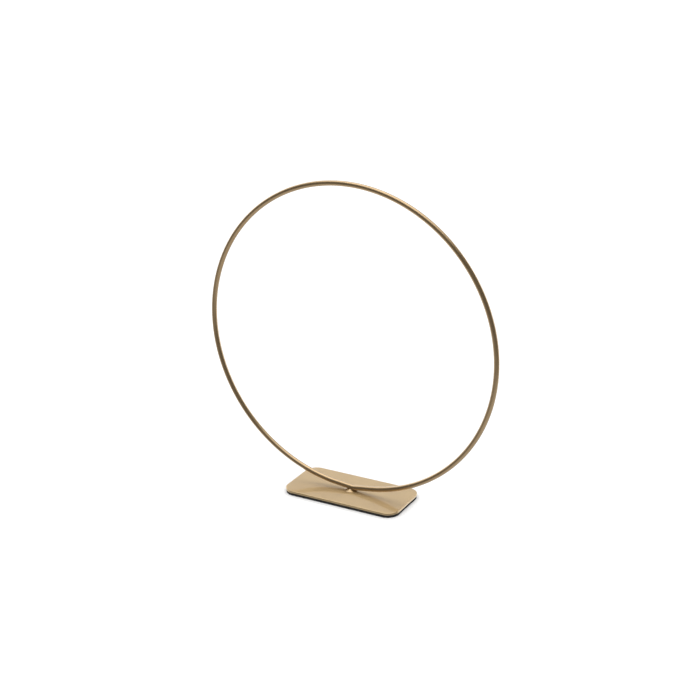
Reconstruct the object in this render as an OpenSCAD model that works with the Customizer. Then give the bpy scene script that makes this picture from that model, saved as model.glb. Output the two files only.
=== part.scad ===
// Freestanding craft hoop: a closed ring of round rod on a flat rectangular foot.
// Millimetres, +Z up. The origin is on the floor under the middle of the foot.
// The hoop stands in the XZ plane and can be swivelled about its one fixing screw.

/* [Hoop] */
// Outside diameter of the hoop
hoop_od = 300; // [200:5:400]
// Diameter of the hoop's round rod
rod_d = 5; // [4:0.1:6]
// Straight length that each end of the rolled rod keeps beside the weld
rod_end = 18; // [8:1:20]
// Gap between the hoop's underside and the top of the foot, at the weld
rod_lift = 0.3; // [0.2:0.1:2]

/* [Butt weld] */
// Sideways distance from the screw's axis to the seam where the rod ends meet
seam_offset = 3; // [2:0.5:5]
// Gap between the rod ends, filled by the weld
weld_gap = 0.6; // [0.5:0.1:1]
// Width of the weld's low crown along the rod
weld_w = 1.8; // [1.4:0.1:2.4]
// Height of the crown above the rod's surface
weld_crown = 0.12; // [0.1:0.01:0.2]

/* [Foot plate] */
// Length of the foot, along the hoop
foot_l = 121; // [90:1:160]
// Width of the foot, across the hoop
foot_w = 58; // [45:1:80]
// Corner radius of the foot's outline
foot_r = 12; // [6:1:18]
// Thickness of the steel plate
plate_t = 2; // [2:0.1:3]
// Rounding of the plate's top edge
plate_edge = 0.7; // [0.3:0.1:1]

/* [Non-slip pad] */
// Thickness of the foam pad
pad_t = 2.6; // [2.4:0.1:3]
// Thickness of the adhesive film between pad and plate
film_t = 0.2; // [0.1:0.05:0.3]
// How far the pad's outline stays inside the plate's
pad_inset = 0.4; // [0.2:0.1:1.5]
// Diameter of the hole in pad and film, round the screw's head
pocket_d = 11; // [10.5:0.5:14]

/* [Flared boss] */
// Diameter of the flare where it stands on the plate
flare_d = 13; // [9:0.5:16]
// Thickness of the flare's rim
flare_rim = 0.2; // [0.15:0.05:0.4]
// Diameter of the neck that meets the rod
neck_d = 3.2; // [2.8:0.1:4]
// Diameter of the spigot that turns in the plate
spigot_d = 5.5; // [5.2:0.1:6.5]
// Radial running clearance between spigot and plate
spigot_gap = 0.05; // [0.03:0.01:0.1]

/* [Fixing screw] */
// Nominal diameter of the screw's thread
thread_d = 4; // [3:0.5:4]
// Diameter of the low head
head_d = 8; // [7:0.5:8.5]
// Height of the low head
head_t = 1.6; // [1.2:0.1:1.6]
// Width of each slot of the cross recess
recess_w = 0.9; // [0.8:0.1:1.1]
// Length of each slot of the cross recess
recess_l = 4; // [3:0.2:4.4]
// Depth of the cross recess
recess_h = 1; // [0.7:0.1:1.1]
// Outside diameter of the plain washer
washer_d = 9; // [8:0.5:9]
// Thickness of the plain washer
washer_t = 0.8; // [0.5:0.1:0.8]

/* [Hidden] */
$fn = 96;

gold = [0.72, 0.58, 0.38];
pale_gold = [0.80, 0.70, 0.52];
foam_black = [0.06, 0.06, 0.06];
film_white = [0.85, 0.85, 0.82];
zinc = [0.75, 0.76, 0.78];

rod_r = rod_d / 2;
hoop_r = (hoop_od - rod_d) / 2;
end_angle = atan(rod_end / hoop_r);
seam_r = hoop_r / cos(end_angle);
seam_tilt = asin(seam_offset / seam_r);
join_overlap = 1;
join_step = 0.02;

film_z = pad_t;
plate_z = film_z + film_t;
foot_h = plate_z + plate_t;
hoop_z = foot_h + rod_lift + rod_r + seam_r;

spigot_short = 0.05;
spigot_z = plate_z + spigot_short;
bore_end = foot_h + 0.1;
tip_gap = 0.1;
thread_gap = 0.02;
washer_z = plate_z - washer_t;
screw_l = bore_end - tip_gap - washer_z;
head_z = washer_z - head_t;
washer_bore = thread_d + 0.3;

flare_steps = 8;
flare_power = 2.6;
boss_top = foot_h + rod_lift + rod_r;

// Turns its children from a sketch plane XY into the hoop's plane and place,
// with the seam moved sideways off the screw's axis.
module in_hoop_plane() {
    translate([0, 0, hoop_z])
        rotate([0, -seam_tilt, 0])
            rotate([90, 0, 0])
                children();
}

// One straight end of the rod, from the rolled arc to the seam. It starts a little way inside
// the arc and is a hair thicker, so that the two join as one solid.
module rod_straight(side) {
    start = [side * hoop_r * sin(end_angle), -hoop_r * cos(end_angle), 0];
    translate(start)
        rotate([0, 0, side * end_angle])
            rotate([0, -side * 90, 0])
                translate([0, 0, -join_overlap])
                    cylinder(r = rod_r + join_step, h = rod_end + join_overlap);
}

// The rolled rod: a long arc with two straight ends that stop short of each other.
module rod_shape() {
    in_hoop_plane() {
        difference() {
            union() {
                rotate([0, 0, end_angle - 90])
                    rotate_extrude(angle = 360 - 2 * end_angle, $fn = 240)
                        translate([hoop_r, 0])
                            circle(r = rod_r, $fn = 48);
                rod_straight(1);
                rod_straight(-1);
            }
            translate([0, -seam_r, 0])
                cube([weld_gap, 3 * rod_d, 3 * rod_d], center = true);
        }
    }
}

module hoop_rod() {
    color(gold) rod_shape();
}

// The weld's full outline across the seam, with sloping shoulders, before the rod is cut away.
module weld_shape() {
    crown_r = rod_r + weld_crown;
    slope = 2 * weld_crown;
    in_hoop_plane()
        translate([0, -seam_r, 0])
            rotate([0, 90, 0])
                rotate_extrude($fn = 64)
                    polygon([[0, -weld_w / 2],
                             [crown_r - slope, -weld_w / 2],
                             [crown_r, slope - weld_w / 2],
                             [crown_r, weld_w / 2 - slope],
                             [crown_r - slope, weld_w / 2],
                             [0, weld_w / 2]]);
}

// Fills the gap between the rod ends and stands a little proud of the rod.
module butt_weld() {
    color(gold)
        difference() {
            weld_shape();
            rod_shape();
        }
}

// Radius of the flare at a share u of its height, wide at the plate and narrow at the neck.
function flare_radius(u) = neck_d / 2 + (flare_d - neck_d) / 2 * pow(1 - u, flare_power);

// Trumpet-shaped collar welded under the rod, cut to fit the rod and the weld beside it.
// Its spigot turns in the plate and is tapped.
module flared_boss() {
    flare_h = boss_top - foot_h - flare_rim;
    flare = [for (i = [0 : flare_steps])
                let (u = i / flare_steps)
                [flare_radius(u), foot_h + flare_rim + u * flare_h]];
    color(gold)
        difference() {
            union() {
                rotate_extrude()
                    polygon(concat([[0, foot_h], [flare_d / 2, foot_h]], flare, [[0, boss_top]]));
                translate([0, 0, spigot_z])
                    cylinder(d = spigot_d, h = foot_h - spigot_z);
            }
            translate([0, 0, spigot_z - 1])
                cylinder(d = thread_d, h = bore_end - spigot_z + 1);
            rod_shape();
            weld_shape();
        }
}

// Low-head machine screw, driven from below through the pad's hole.
module fixing_screw() {
    color(zinc)
        difference() {
            union() {
                translate([0, 0, head_z])
                    cylinder(d = head_d, h = head_t);
                translate([0, 0, washer_z])
                    cylinder(r = thread_d / 2 - thread_gap, h = screw_l);
            }
            for (turn = [0, 90])
                rotate([0, 0, turn])
                    translate([0, 0, head_z])
                        cube([recess_l, recess_w, 2 * recess_h], center = true);
        }
}

// Outline of the foot with round corners, drawn smaller by inset.
module foot_outline(inset) {
    l = foot_l - 2 * inset;
    w = foot_w - 2 * inset;
    r = foot_r - inset;
    square([l - 2 * r, w], center = true);
    square([l, w - 2 * r], center = true);
    for (x = [-1, 1], y = [-1, 1])
        translate([x * (l / 2 - r), y * (w / 2 - r)])
            circle(r = r);
}

// Cross-section of the plate to one side of its middle, with a rounded top edge.
module plate_half_section(half_w) {
    square([half_w, plate_t - plate_edge]);
    square([half_w - plate_edge, plate_t]);
    translate([half_w - plate_edge, plate_t - plate_edge])
        circle(r = plate_edge, $fn = 32);
}

// A straight length of the plate's full cross-section, centred, running along X.
module plate_bar(length, width) {
    rotate([90, 0, 90])
        translate([0, 0, -length / 2])
            linear_extrude(length) {
                plate_half_section(width / 2);
                mirror([1, 0]) plate_half_section(width / 2);
            }
}

module foot_plate() {
    corner_x = foot_l / 2 - foot_r;
    corner_y = foot_w / 2 - foot_r;
    color(pale_gold)
        translate([0, 0, plate_z])
            difference() {
                union() {
                    plate_bar(2 * corner_x, foot_w);
                    rotate([0, 0, 90]) plate_bar(2 * corner_y, foot_l);
                    for (x = [-1, 1], y = [-1, 1])
                        translate([x * corner_x, y * corner_y])
                            rotate_extrude() plate_half_section(foot_r);
                }
                translate([0, 0, -1])
                    cylinder(r = spigot_d / 2 + spigot_gap, h = plate_t + 2);
            }
}

// A flat layer under the plate, with the hole for the screw's head.
module foot_layer(z, thickness) {
    translate([0, 0, z])
        difference() {
            linear_extrude(thickness) foot_outline(pad_inset);
            translate([0, 0, -1])
                cylinder(d = pocket_d, h = thickness + 2);
        }
}

module adhesive_film() {
    color(film_white) foot_layer(film_z, film_t);
}

module foot_pad() {
    color(foam_black) foot_layer(0, pad_t);
}

module plain_washer() {
    color(zinc)
        translate([0, 0, washer_z])
            difference() {
                cylinder(d = washer_d, h = washer_t);
                translate([0, 0, -1])
                    cylinder(d = washer_bore, h = washer_t + 2);
            }
}

hoop_rod();
butt_weld();
flared_boss();
fixing_screw();
foot_plate();
adhesive_film();
foot_pad();
plain_washer();
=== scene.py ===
"""Looks for the craft hoop on a stand: detailed meshes, procedural finishes, studio and camera.

All lengths are in metres, in the CAD frame: +Z up, the hoop in the XZ plane, front at -Y.
"""
import math

import bmesh
import bpy
from mathutils import Matrix, Vector, noise


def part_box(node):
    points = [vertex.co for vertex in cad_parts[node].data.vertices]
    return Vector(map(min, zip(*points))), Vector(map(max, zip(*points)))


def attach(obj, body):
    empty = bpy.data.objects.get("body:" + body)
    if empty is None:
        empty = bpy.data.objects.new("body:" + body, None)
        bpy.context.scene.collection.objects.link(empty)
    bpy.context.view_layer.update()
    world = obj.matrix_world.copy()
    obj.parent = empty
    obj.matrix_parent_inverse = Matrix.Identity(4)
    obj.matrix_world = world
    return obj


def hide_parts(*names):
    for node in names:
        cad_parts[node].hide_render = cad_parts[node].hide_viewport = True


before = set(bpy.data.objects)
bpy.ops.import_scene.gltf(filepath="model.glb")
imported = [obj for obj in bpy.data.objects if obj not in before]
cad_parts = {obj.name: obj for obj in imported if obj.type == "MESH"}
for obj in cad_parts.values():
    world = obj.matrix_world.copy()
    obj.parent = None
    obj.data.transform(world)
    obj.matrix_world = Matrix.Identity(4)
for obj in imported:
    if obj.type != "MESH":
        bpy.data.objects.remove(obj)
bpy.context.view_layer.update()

MM = 0.001
TURN = 2 * math.pi

# ---------------------------------------------------------------- sizes
# Places come from the CAD nodes' boxes. The rest are the small sizes that a box can't give.

rod_low, rod_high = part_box("hoop_rod")
plate_low, plate_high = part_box("foot_plate")
pad_low, pad_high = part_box("foot_pad")
film_low, film_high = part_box("adhesive_film")
boss_low, boss_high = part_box("flared_boss")
screw_low, screw_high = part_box("fixing_screw")
washer_low, washer_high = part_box("plain_washer")

ROD_R = 2.5 * MM
ROD_END = 18 * MM            # straight length on each side of the seam
SEAM_OFFSET = 3 * MM         # sideways from the screw's axis to the seam
WELD_GAP = 0.6 * MM
WELD_W = 1.8 * MM
WELD_CROWN = 0.12 * MM
CORNER_R = 12 * MM           # plate corners
EDGE_R = 0.7 * MM            # plate's rounded top edge
BURR_R = 0.15 * MM           # plate's lower edge
BORE_R = 2.8 * MM            # plate's hole for the spigot
FLARE_RIM = 0.2 * MM
NECK_R = 1.6 * MM
FLARE_POWER = 2.6
SPIGOT_R = 2.75 * MM
POCKET_R = 5.5 * MM          # hole in film and pad round the screw's head
THREAD_R = 1.98 * MM
BORE_RISE = 0.1 * MM         # the tapped bore ends this far above the plate
THREAD_DEPTH = 0.32 * MM
THREAD_PITCH = 0.7 * MM
WASHER_BORE_R = 2.15 * MM
RECESS_DEPTH = 1.0 * MM        # the screw's cross recess
RECESS_W = 0.9 * MM
RECESS_L = 4.0 * MM
RECESS_TAPER = 0.6            # its floor against its mouth
PEEL = 0.004 * MM             # height of the lacquer's orange peel

HOOP_R = (rod_high.x - rod_low.x) / 2 - ROD_R
HOOP_Z = rod_high.z - HOOP_R - ROD_R
END_ANGLE = math.atan(ROD_END / HOOP_R)
SEAM_R = HOOP_R / math.cos(END_ANGLE)
SEAM_TILT = math.asin(SEAM_OFFSET / SEAM_R)
PLATE_TOP = plate_high.z
SCREW_HEAD_R = screw_high.x
SCREW_HEAD_TOP = washer_low.z


# ---------------------------------------------------------------- mesh tools

def make_piece(name, points, faces, body, stands_for, slot, crease_deg=35):
    """A smooth mesh piece that rides on a body and stands for one CAD node."""
    mesh = bpy.data.meshes.new(name)
    mesh.from_pydata([tuple(p) for p in points], [], faces)
    work = bmesh.new()
    work.from_mesh(mesh)
    bmesh.ops.remove_doubles(work, verts=work.verts, dist=1e-8)
    bmesh.ops.recalc_face_normals(work, faces=work.faces)
    work.to_mesh(mesh)
    work.free()
    mesh.shade_smooth()
    mesh.set_sharp_from_angle(angle=math.radians(crease_deg))
    piece = bpy.data.objects.new(name, mesh)
    bpy.context.scene.collection.objects.link(piece)
    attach(piece, body)
    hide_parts(stands_for)
    return piece


def loft(rings, closed=False, caps=False):
    """Points and quads that join rings of equal length, each ring a closed loop of points."""
    count = len(rings[0])
    points = [p for ring in rings for p in ring]
    faces = []
    joins = len(rings) if closed else len(rings) - 1
    for i in range(joins):
        a = i * count
        b = (i + 1) % len(rings) * count
        for j in range(count):
            k = (j + 1) % count
            faces.append((a + j, a + k, b + k, b + j))
    if caps:
        faces.append(tuple(range(count))[::-1])
        faces.append(tuple(range(len(points) - count, len(points))))
    return points, faces


def circle(radius, z, steps):
    return [Vector((radius * math.cos(TURN * i / steps), radius * math.sin(TURN * i / steps), z))
            for i in range(steps)]


def lathe(profile, steps):
    """Turns a closed profile of (radius, height) about the Z axis."""
    return loft([circle(r, z, steps) for r, z in profile], closed=True)


def arc(centre, radius, start_deg, end_deg, steps):
    """Points of a round stretch of a profile, as (across, up)."""
    found = []
    for i in range(steps + 1):
        a = math.radians(start_deg + (end_deg - start_deg) * i / steps)
        found.append((centre[0] + radius * math.cos(a), centre[1] + radius * math.sin(a)))
    return found


# ---------------------------------------------------------------- hoop and weld

def in_place(x, y, z):
    """From the hoop's own plane, seam straight down, to its place in the frame."""
    turn = Matrix.Rotation(-SEAM_TILT, 3, "Y")
    return turn @ Vector((x, y, z)) + Vector((0, 0, HOOP_Z))


def rod_ring(x, z, slope, steps):
    """The rod's round section at a point of its centreline, square to a direction in its plane."""
    ring = []
    for i in range(steps):
        a = TURN * i / steps
        across = ROD_R * math.cos(a)
        ring.append(in_place(x - across * math.sin(slope), ROD_R * math.sin(a), z + across * math.cos(slope)))
    return ring


def seam_ring(x, radius, steps):
    """A section in the seam's own upright plane. The rod slopes up on both sides of the seam."""
    rise = abs(x) * math.tan(END_ANGLE) - SEAM_R
    ring = []
    for i in range(steps):
        a = TURN * i / steps
        ring.append(in_place(x, radius * math.sin(a), rise + radius * math.cos(a) / math.cos(END_ANGLE)))
    return ring


def make_hoop():
    """One rolled rod: a straight end, the long arc, and the other straight end."""
    round_steps, arc_steps, end_steps = 48, 720, 12
    rings = [seam_ring(WELD_GAP / 2, ROD_R, round_steps)]
    start = END_ANGLE
    arc_x, arc_z = HOOP_R * math.sin(start), -HOOP_R * math.cos(start)
    for i in range(1, end_steps):
        share = i / end_steps
        rings.append(rod_ring(share * arc_x, -SEAM_R + share * (arc_z + SEAM_R), start, round_steps))
    for i in range(arc_steps + 1):
        a = start + (TURN - 2 * start) * i / arc_steps
        rings.append(rod_ring(HOOP_R * math.sin(a), -HOOP_R * math.cos(a), a, round_steps))
    for i in range(end_steps - 1, 0, -1):
        share = i / end_steps
        rings.append(rod_ring(-share * arc_x, -SEAM_R + share * (arc_z + SEAM_R), TURN - start, round_steps))
    rings.append(seam_ring(-WELD_GAP / 2, ROD_R, round_steps))
    return make_piece("hoop", *loft(rings, caps=True), "hoop", "hoop_rod", "hoop_gold")


def make_weld():
    """The dressed butt weld: it fills the gap and stands a little proud, with faint ripples."""
    steps, along = 96, 24
    rings = [seam_ring(-WELD_GAP / 2, 0.05 * MM, steps), seam_ring(-WELD_GAP / 2, ROD_R, steps)]
    for i in range(along + 1):
        x = WELD_W * (i / along - 0.5)
        crown = WELD_CROWN * math.cos(math.pi * x / WELD_W) ** 0.7 if 0 < i < along else 0
        ring = []
        for j, p in enumerate(seam_ring(x, ROD_R, steps)):
            centre = in_place(x, 0, abs(x) * math.tan(END_ANGLE) - SEAM_R)
            ripple = 1 + 0.35 * math.sin(TURN * 14 * j / steps) * crown / WELD_CROWN
            lump = 1 + 0.5 * noise.noise(p / (0.8 * MM))
            ring.append(p + (p - centre).normalized() * crown * ripple * lump * 0.7)
        rings.append(ring)
    rings.append(seam_ring(WELD_GAP / 2, ROD_R, steps))
    rings.append(seam_ring(WELD_GAP / 2, 0.05 * MM, steps))
    return make_piece("weld_bead", *loft(rings, caps=True), "hoop", "butt_weld", "hoop_gold", 60)


# ---------------------------------------------------------------- boss, screw and washer

def rod_underside(x, y):
    """Height of the rod's lower surface over a point of the plate, or a large height beside it."""
    if abs(y) >= ROD_R:
        return 1.0
    centre = HOOP_Z - SEAM_R * math.cos(SEAM_TILT) + abs(x - SEAM_OFFSET) * math.tan(END_ANGLE)
    return centre - math.sqrt(ROD_R ** 2 - y ** 2) / math.cos(END_ANGLE)


def make_boss():
    """Trumpet-shaped collar under the rod, with the tapped spigot that turns in the plate."""
    steps, up = 128, 40
    rim_r = boss_high.x
    top = HOOP_Z - SEAM_R        # the neck runs on up to the rod's middle
    flare_low = PLATE_TOP + FLARE_RIM
    rings = [circle(THREAD_R, PLATE_TOP + BORE_RISE, steps), circle(THREAD_R, boss_low.z, steps)]
    rings.append(circle(SPIGOT_R - 0.15 * MM, boss_low.z, steps))
    rings.append(circle(SPIGOT_R, boss_low.z + 0.15 * MM, steps))
    rings.append(circle(SPIGOT_R, PLATE_TOP, steps))
    rings.append(circle(rim_r - 0.1 * MM, PLATE_TOP, steps))
    rings.append(circle(rim_r, PLATE_TOP + 0.1 * MM, steps))
    for i in range(up + 1):
        u = i / up
        r = NECK_R + (rim_r - NECK_R) * (1 - u) ** FLARE_POWER
        z = flare_low + u * (top - flare_low)
        rings.append([Vector((p.x, p.y, min(z, rod_underside(p.x, p.y)))) for p in circle(r, z, steps)])
    for share in (0.7, 0.4, 0.1):
        rings.append([Vector((p.x, p.y, min(top, rod_underside(p.x, p.y))))
                      for p in circle(NECK_R * share, top, steps)])
    points, faces = loft(rings)
    first, last = len(points) - steps, len(points)
    faces.append(tuple(range(first, last)))
    faces.append(tuple(range(steps))[::-1])
    return make_piece("flared_collar", points, faces, "hoop", "flared_boss", "boss_gold", 50)


def cross_outline(length, width, z):
    """Corners of an upright cross, anticlockwise from above."""
    far, near = length / 2, width / 2
    corners = [(far, -near), (far, near), (near, near), (near, far), (-near, far), (-near, near),
               (-far, near), (-far, -near), (-near, -near), (-near, -far), (near, -far), (near, -near)]
    return [Vector((x, y, z)) for x, y in corners]


def cross_cutter(low):
    """One closed tapered cross for the screw's recess, narrow at its bottom."""
    floor_z = low + RECESS_DEPTH
    rings = [cross_outline(RECESS_L, RECESS_W, low - 0.5 * MM)]
    rings.append(cross_outline(RECESS_L * RECESS_TAPER, RECESS_W * RECESS_TAPER, floor_z))
    mesh = bpy.data.meshes.new("cross_cutter")
    points, faces = loft(rings, caps=True)
    mesh.from_pydata(points, [], faces)
    mesh.update()
    return mesh


def make_screw():
    """Low-head screw from below: rounded head, cross recess and a rolled thread."""
    steps, low = 96, screw_low.z
    head_r, head_top = SCREW_HEAD_R, SCREW_HEAD_TOP
    thread_end = screw_high.z
    rings = [circle(0.05 * MM, low, steps), circle(head_r - 1.0 * MM, low, steps)]
    for r, z in arc((head_r - 0.6 * MM, low + 0.6 * MM), 0.6 * MM, -90, 0, 8):
        rings.append(circle(r, z, steps))
    rings.append(circle(head_r, head_top - 0.1 * MM, steps))
    rings.append(circle(head_r - 0.1 * MM, head_top, steps))
    rings.append(circle(THREAD_R, head_top, steps))
    turns = int((thread_end - head_top) / THREAD_PITCH * 16)
    for i in range(1, turns + 1):
        z = head_top + (thread_end - head_top) * i / turns
        ring = []
        for j in range(steps):
            phase = (z / THREAD_PITCH - j / steps) % 1.0
            depth = THREAD_DEPTH * (0.5 + 0.5 * math.cos(TURN * phase)) * min(1.0, 12 * i / turns)
            a = TURN * j / steps
            ring.append(Vector(((THREAD_R - depth) * math.cos(a), (THREAD_R - depth) * math.sin(a), z)))
        rings.append(ring)
    screw = make_piece("low_head_screw", *loft(rings, caps=True), "hoop", "fixing_screw", "zinc")
    cutter = bpy.data.objects.new("cross_cutter", cross_cutter(low))
    bpy.context.scene.collection.objects.link(cutter)
    cut = screw.modifiers.new("recess", "BOOLEAN")
    cut.operation, cut.solver, cut.object = "DIFFERENCE", "EXACT", cutter
    bpy.context.view_layer.update()
    done = bpy.data.meshes.new_from_object(screw.evaluated_get(bpy.context.evaluated_depsgraph_get()))
    screw.modifiers.clear()
    screw.data = done
    done.shade_smooth()
    done.set_sharp_from_angle(angle=math.radians(35))
    bpy.data.objects.remove(cutter)
    return screw


def make_washer():
    """A stamped washer: rolled over on its lower face, a faint burr on the upper."""
    low, high, outer, bore = washer_low.z, washer_high.z, washer_high.x, WASHER_BORE_R
    roll, burr = 0.18 * MM, 0.04 * MM
    profile = arc((outer - roll, low + roll), roll, -90, 0, 6)
    profile += [(outer, high - burr), (outer - burr, high), (bore + burr, high), (bore, high - burr)]
    profile += arc((bore + roll, low + roll), roll, 180, 270, 6)
    return make_piece("washer", *lathe(profile, 96), "foot", "plain_washer", "zinc")


# ---------------------------------------------------------------- foot

def foot_outline(inset, z):
    """The foot's outline with round corners, drawn smaller by inset."""
    half_l, half_w, r = plate_high.x - inset, plate_high.y - inset, CORNER_R - inset
    corner_steps, long_steps, short_steps = 24, 60, 24
    ring = []
    corners = [(1, 1, 0), (-1, 1, 90), (-1, -1, 180), (1, -1, 270)]
    for index, (sx, sy, start) in enumerate(corners):
        cx, cy = sx * (half_l - r), sy * (half_w - r)
        ring += [Vector((x, y, z)) for x, y in arc((cx, cy), r, start, start + 90, corner_steps)]
        steps = long_steps if index % 2 == 0 else short_steps
        nx, ny = corners[(index + 1) % 4][:2]
        away = math.radians(start + 90)
        here = Vector((cx + r * math.cos(away), cy + r * math.sin(away), z))
        there = Vector((nx * (half_l - r) + r * math.cos(away), ny * (half_w - r) + r * math.sin(away), z))
        ring += [here.lerp(there, i / steps) for i in range(1, steps)]
    return ring


def round_hole(outline, radius, z):
    """A circle with one point towards each point of an outline."""
    found = []
    for p in outline:
        a = math.atan2(p.y, p.x)
        found.append(Vector((radius * math.cos(a), radius * math.sin(a), z)))
    return found


def layer_faces(side_rings, hole_r, rows):
    """Closes a flat layer: from its side, across its upper face, down the hole and back below."""
    rings = list(side_rings)
    for ring in (side_rings[-1], side_rings[0]):
        z = ring[0].z
        hole = round_hole(ring, hole_r, z)
        order = range(1, rows + 1) if ring is side_rings[-1] else range(rows, 0, -1)
        for i in order:
            share = i / rows
            rings.append([p.lerp(q, share) for p, q in zip(ring, hole)])
    return loft(rings, closed=True)


def make_plate():
    """Steel plate: rounded top edge, small radius below, and the spigot's hole."""
    low = plate_low.z
    sides = []
    for r, z in arc((-BURR_R, low + BURR_R), BURR_R, -90, 0, 4):
        sides.append(foot_outline(-r, z))
    for r, z in arc((-EDGE_R, PLATE_TOP - EDGE_R), EDGE_R, 0, 90, 12):
        sides.append(foot_outline(-r, z))
    return make_piece("base_plate", *layer_faces(sides, BORE_R, 10), "foot", "foot_plate", "foot_gold")


def make_film():
    """Adhesive film, cut a hair smaller than the pad."""
    inset = plate_high.x - film_high.x
    sides = [foot_outline(inset + 0.05 * MM, film_low.z), foot_outline(inset + 0.05 * MM, film_high.z)]
    points, faces = layer_faces(sides, POCKET_R, 3)
    return make_piece("film", points, faces, "foot", "adhesive_film", "film")


def make_pad():
    """Closed-cell foam pad: its die-cut side bellies out a little and is rough."""
    low, high = pad_low.z, pad_high.z
    inset = plate_high.x - pad_high.x
    sides, rows = [], 14
    for i in range(rows + 1):
        share = i / rows
        belly = 0.16 * MM * (1 - math.sin(math.pi * share))
        z = low + (high - low) * share
        ring = []
        for p in foot_outline(inset + belly, z):
            rough = 0.05 * MM * noise.noise(p / (0.9 * MM)) if 0 < i < rows else 0
            ring.append(p + Vector((p.x, p.y, 0)).normalized() * (rough - 0.03 * MM))
        sides.append(ring)
    pad = make_piece("foam_pad", *layer_faces(sides, POCKET_R, 4), "foot", "foot_pad", "black_foam", 50)
    return pad


# ---------------------------------------------------------------- materials

class Finish:
    """A procedural material on one Principled shader, with its textures in object space."""

    def __init__(self, name):
        self.material = bpy.data.materials.new(name)
        self.material.use_nodes = True
        self.tree = self.material.node_tree
        self.shader = self.tree.nodes["Principled BSDF"]
        self.place = self.node("ShaderNodeTexCoord").outputs["Object"]

    def node(self, kind, **settings):
        made = self.tree.nodes.new(kind)
        for key, value in settings.items():
            setattr(made, key, value)
        return made

    def link(self, source, target):
        self.tree.links.new(source, target)

    def noise(self, size, detail=3.0, rough=0.5):
        """Noise whose blobs are about size metres across."""
        scale = self.node("ShaderNodeMapping")
        scale.inputs["Scale"].default_value = [1 / size] * 3
        self.link(self.place, scale.inputs["Vector"])
        texture = self.node("ShaderNodeTexNoise")
        texture.inputs["Scale"].default_value = 1.0
        texture.inputs["Detail"].default_value = detail
        texture.inputs["Roughness"].default_value = rough
        self.link(scale.outputs["Vector"], texture.inputs["Vector"])
        return texture.outputs["Fac"]

    def cells(self, size):
        """Distance to the middle of Voronoi cells about size metres across."""
        texture = self.node("ShaderNodeTexVoronoi", feature="F1")
        texture.inputs["Scale"].default_value = 1 / size
        self.link(self.place, texture.inputs["Vector"])
        return texture.outputs["Distance"]

    def spread(self, value, low, high, start=0.3, end=0.7):
        """Maps a texture value from start..end to low..high."""
        ramp = self.node("ShaderNodeMapRange")
        self.link(value, ramp.inputs["Value"])
        for socket, number in (("From Min", start), ("From Max", end), ("To Min", low), ("To Max", high)):
            ramp.inputs[socket].default_value = number
        return ramp.outputs["Result"]

    def colours(self, value, dark, light):
        """A colour between two, chosen by a texture value."""
        mix = self.node("ShaderNodeMix", data_type="RGBA")
        self.link(value, mix.inputs["Factor"])
        mix.inputs["A"].default_value = (*dark, 1)
        mix.inputs["B"].default_value = (*light, 1)
        return mix.outputs["Result"]

    def tint(self, colour, value):
        """A colour multiplied by a texture value near 1."""
        scale = self.node("ShaderNodeVectorMath", operation="SCALE")
        self.link(colour, scale.inputs[0])
        self.link(value, scale.inputs["Scale"])
        return scale.outputs["Vector"]

    def multiply(self, a, b):
        maths = self.node("ShaderNodeMath", operation="MULTIPLY")
        self.link(a, maths.inputs[0])
        self.link(b, maths.inputs[1])
        return maths.outputs["Value"]

    def bump(self, height, depth, below=None):
        """Relief of about depth metres, over an earlier one if given."""
        relief = self.node("ShaderNodeBump")
        relief.inputs["Strength"].default_value = 1.0
        relief.inputs["Distance"].default_value = depth
        self.link(height, relief.inputs["Height"])
        if below is not None:
            self.link(below, relief.inputs["Normal"])
        return relief.outputs["Normal"]

    def set(self, **values):
        """Sets or links the shader's sockets; an underscore in a name is a space."""
        for key, value in values.items():
            socket = self.shader.inputs[key.replace("_", " ")]
            if isinstance(value, bpy.types.NodeSocket):
                self.link(value, socket)
            else:
                socket.default_value = value


def gold_lacquer(name, dark, light, gloss_low, gloss_high):
    """Rough metallic gold under a clear lacquer: flake, cloudy tone, orange peel and handling marks."""
    f = Finish(name)
    cloud = f.spread(f.noise(18 * MM, detail=4), 0.0, 1.0)
    colour = f.colours(cloud, dark, light)
    flake = f.spread(f.noise(0.22 * MM, detail=1), 0.96, 1.04)
    colour = f.tint(colour, flake)
    smudge = f.spread(f.noise(9 * MM, detail=5, rough=0.6), gloss_low, gloss_high)
    grain = f.spread(f.noise(0.5 * MM, detail=2), 0.94, 1.06)
    relief = f.bump(f.noise(1.4 * MM, detail=2), PEEL)
    relief = f.bump(f.noise(0.25 * MM, detail=1), PEEL * 0.12, relief)
    f.set(Base_Color=colour, Metallic=1.0, Roughness=f.multiply(smudge, grain), Normal=relief)
    f.set(Coat_Weight=1.0, Coat_Roughness=0.08, Coat_IOR=1.5)
    return f.material


def foam_material():
    """Black closed-cell foam: small round pits, matt."""
    f = Finish("black_foam")
    tone = f.spread(f.noise(3 * MM, detail=4), 0.0, 1.0)
    colour = f.colours(tone, (0.008, 0.007, 0.006), (0.022, 0.020, 0.018))
    pits = f.bump(f.cells(0.35 * MM), 0.06 * MM)
    f.set(Base_Color=colour, Metallic=0.0, Normal=f.bump(f.noise(0.12 * MM), 0.02 * MM, pits))
    f.set(Roughness=f.spread(f.noise(1.5 * MM), 0.82, 0.96))
    f.set(Specular_IOR_Level=0.25)
    return f.material


def film_material():
    """Cloudy double-sided film."""
    f = Finish("film")
    tone = f.spread(f.noise(5 * MM, detail=3), 0.0, 1.0)
    colour = f.colours(tone, (0.46, 0.43, 0.36), (0.62, 0.59, 0.52))
    f.set(Base_Color=colour, Roughness=f.spread(f.noise(2 * MM), 0.5, 0.7))
    f.set(Normal=f.bump(f.noise(0.8 * MM, detail=3), 0.02 * MM))
    return f.material


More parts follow.
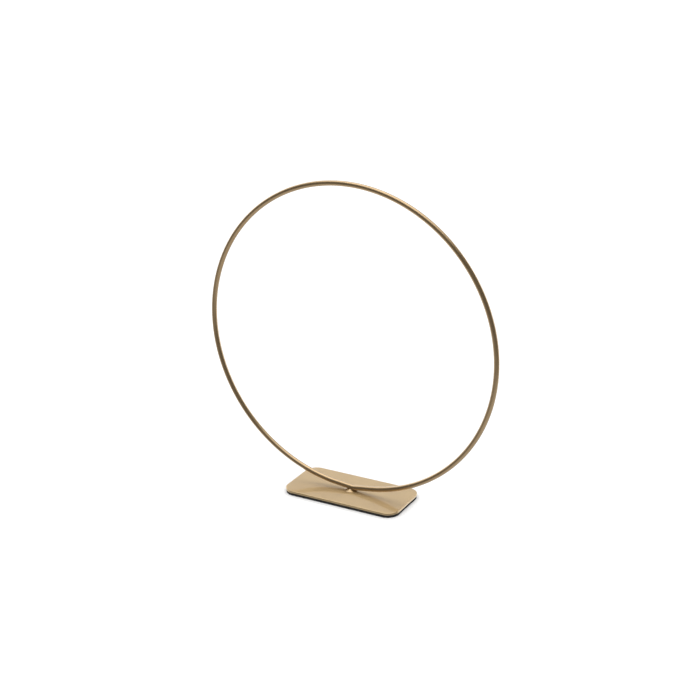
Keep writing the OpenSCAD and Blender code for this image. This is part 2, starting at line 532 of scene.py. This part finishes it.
def zinc_material():
    """Zinc plating on turned steel: a fine bumpy grain, cloudy passivation."""
    f = Finish("zinc")
    tone = f.spread(f.noise(1.5 * MM, detail=4), 0.0, 1.0)
    colour = f.colours(tone, (0.50, 0.52, 0.56), (0.68, 0.69, 0.70))
    f.set(Base_Color=colour, Metallic=1.0)
    f.set(Roughness=f.spread(f.noise(0.6 * MM, detail=4), 0.26, 0.48))
    f.set(Normal=f.bump(f.noise(0.18 * MM, detail=3), 0.006 * MM))
    return f.material


# ---------------------------------------------------------------- studio

AZIMUTH = math.radians(29.47)     # camera to the right of straight ahead
ELEVATION = math.radians(20.93)
ROLL = math.radians(1.09)
LENS = 71.51                      # on a 36 mm sensor
AIM = Vector((-1.668, 8.135, -1274.0)) * MM   # hoop's centre in the camera's own axes
EVEN_WHITE = 1.30                 # light that the matt surfaces get from all sides
ROOM_DIM = 0.118                  # what polished surfaces mirror away from the lights


def make_camera():
    back = Vector((math.sin(AZIMUTH) * math.cos(ELEVATION), -math.cos(AZIMUTH) * math.cos(ELEVATION),
                   math.sin(ELEVATION)))
    right = Vector((math.cos(AZIMUTH), math.sin(AZIMUTH), 0))
    axes = Matrix.Rotation(ROLL, 3, "Z") @ Matrix((right, back.cross(right), back))
    place = axes.transposed().to_4x4()
    place.translation = Vector((0, 0, HOOP_Z)) - axes.transposed() @ AIM
    data = bpy.data.cameras.new("camera")
    data.sensor_width, data.lens = 36, LENS
    data.clip_start, data.clip_end = 0.01, 100
    camera = bpy.data.objects.new("camera", data)
    camera.matrix_world = place
    bpy.context.scene.collection.objects.link(camera)
    bpy.context.scene.camera = camera


def make_floor():
    """A large plain white floor."""
    half = 15.0
    mesh = bpy.data.meshes.new("floor")
    corners = [(-half, -half, 0), (half, -half, 0), (half, half, 0), (-half, half, 0)]
    mesh.from_pydata(corners, [], [(0, 1, 2, 3)])
    floor = bpy.data.objects.new("floor", mesh)
    bpy.context.scene.collection.objects.link(floor)
    paint = bpy.data.materials.new("floor_white")
    paint.use_nodes = True
    shader = paint.node_tree.nodes["Principled BSDF"]
    shader.inputs["Base Color"].default_value = (0.93, 0.93, 0.93, 1)
    shader.inputs["Roughness"].default_value = 0.9
    shader.inputs["Specular IOR Level"].default_value = 0.0
    floor.data.materials.append(paint)
    floor.visible_glossy = False
    floor.visible_shadow = False


def make_studio():
    """A white studio: a wide soft light overhead, bright walls behind, dark where the camera stands.

    Polished surfaces mirror that room. The matt floor and the backdrop get an even white light.
    """
    world = bpy.data.worlds.new("studio")
    bpy.context.scene.world = world
    world.use_nodes = True
    tree = world.node_tree
    sky = tree.nodes["Background"]
    way = tree.nodes.new("ShaderNodeTexCoord").outputs["Generated"]
    front = Vector((math.sin(AZIMUTH), -math.cos(AZIMUTH), 0))
    right = Vector((math.cos(AZIMUTH), math.sin(AZIMUTH), 0))

    def towards(height_deg, side_deg, start, end, amount):
        """Light round a direction, given by its height and its angle from the camera's side."""
        height, side = math.radians(height_deg), math.radians(side_deg)
        level = front * math.cos(side) + right * math.sin(side)
        dot = tree.nodes.new("ShaderNodeVectorMath")
        dot.operation = "DOT_PRODUCT"
        tree.links.new(way, dot.inputs[0])
        dot.inputs[1].default_value = level * math.cos(height) + Vector((0, 0, math.sin(height)))
        ramp = tree.nodes.new("ShaderNodeMapRange")
        ramp.interpolation_type = "SMOOTHSTEP"
        tree.links.new(dot.outputs["Value"], ramp.inputs["Value"])
        ramp.inputs["From Min"].default_value = start
        ramp.inputs["From Max"].default_value = end
        ramp.inputs["To Max"].default_value = amount
        return ramp.outputs["Result"]

    parts = [
        towards(90, 0, 0.72, 0.92, 1.91),        # wide soft light overhead
        towards(32, -137, 0.85, 0.90, 0.65),     # upper wall, back left
        towards(32, 180, 0.46, 0.71, 0.675),     # upper wall, back
        towards(-90, 0, 0.28, 0.57, 0.556),      # floor near the object
        towards(-3, 121, 0.79, 0.95, 1.55),      # lower wall, back right
        towards(-20, -144, 0.61, 0.81, 0.735),   # lower wall, back left
    ]
    total = None
    for part in parts:
        add = tree.nodes.new("ShaderNodeMath")
        add.operation = "ADD"
        tree.links.new(part, add.inputs[0])
        if total is None:
            add.inputs[1].default_value = ROOM_DIM
        else:
            tree.links.new(total, add.inputs[1])
        total = add.outputs["Value"]
    choice = tree.nodes.new("ShaderNodeMix")
    choice.data_type = "FLOAT"
    rays = tree.nodes.new("ShaderNodeLightPath")
    tree.links.new(rays.outputs["Is Glossy Ray"], choice.inputs["Factor"])
    choice.inputs["A"].default_value = EVEN_WHITE
    tree.links.new(total, choice.inputs["B"])
    tree.links.new(choice.outputs["Result"], sky.inputs["Strength"])
    sky.inputs["Color"].default_value = (1, 1, 1, 1)


# ---------------------------------------------------------------- build

def main():
    make_camera()
    rod_gold = gold_lacquer("rod_gold", (0.417, 0.287, 0.148), (0.457, 0.319, 0.168), 0.33, 0.39)
    plate_gold = gold_lacquer("plate_gold", (0.50, 0.358, 0.182), (0.53, 0.384, 0.198), 0.47, 0.53)
    collar_gold = gold_lacquer("collar_gold", (0.48, 0.335, 0.17), (0.54, 0.38, 0.20), 0.33, 0.39)
    zinc = zinc_material()
    finishes = [
        (make_hoop(), rod_gold),
        (make_weld(), rod_gold),
        (make_boss(), collar_gold),
        (make_screw(), zinc),
        (make_washer(), zinc),
        (make_plate(), plate_gold),
        (make_film(), film_material()),
        (make_pad(), foam_material()),
    ]
    for piece, finish in finishes:
        piece.data.materials.clear()
        piece.data.materials.append(finish)
    make_floor()
    make_studio()
    bpy.context.scene.view_settings.view_transform = "Standard"


main()
